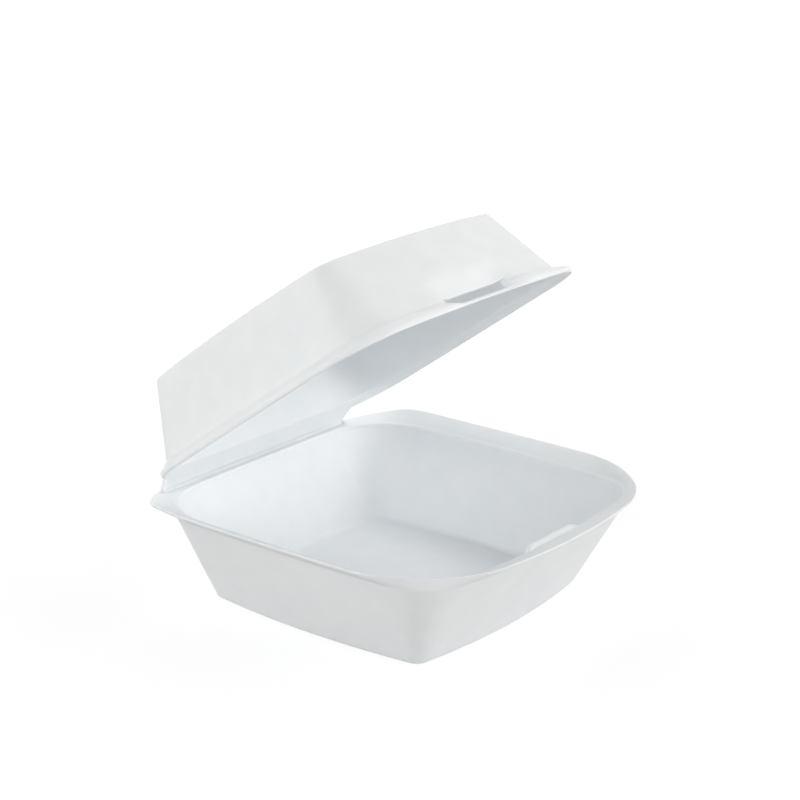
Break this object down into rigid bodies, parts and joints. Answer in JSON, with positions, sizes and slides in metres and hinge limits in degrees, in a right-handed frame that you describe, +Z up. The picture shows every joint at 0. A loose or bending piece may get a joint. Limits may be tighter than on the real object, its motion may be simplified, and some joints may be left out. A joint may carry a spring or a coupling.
{
  "type": "foam clamshell container",
  "caption": "Moulded foam food clamshell: square tray and lid joined by a pressed crease, with flared walls, rounded corners, a locking ridge and a latch slot.",
  "frame": {"origin": "middle of the base's flat underside, on the surface it stands on", "axes": "+Z up; -Y to the front, where the latch is; +Y to the back, where the crease is; +X along the crease, to the right seen from the front"},
  "size_m": [0.152, 0.1621, 0.1409],
  "materials": {
    "foam": "matt white closed-cell foam skin"
  },
  "bodies": {
    "base": {"base": "foam"},
    "lid": {"lid": "foam"}
  },
  "joints": [
    {"name": "lid_hinge", "type": "hinge", "parent": "base", "child": "lid", "pos_m": [0, 0.0704, 0.0364], "axis": [-1, 0, 0], "range_deg": [-36, 137]}
  ]
}
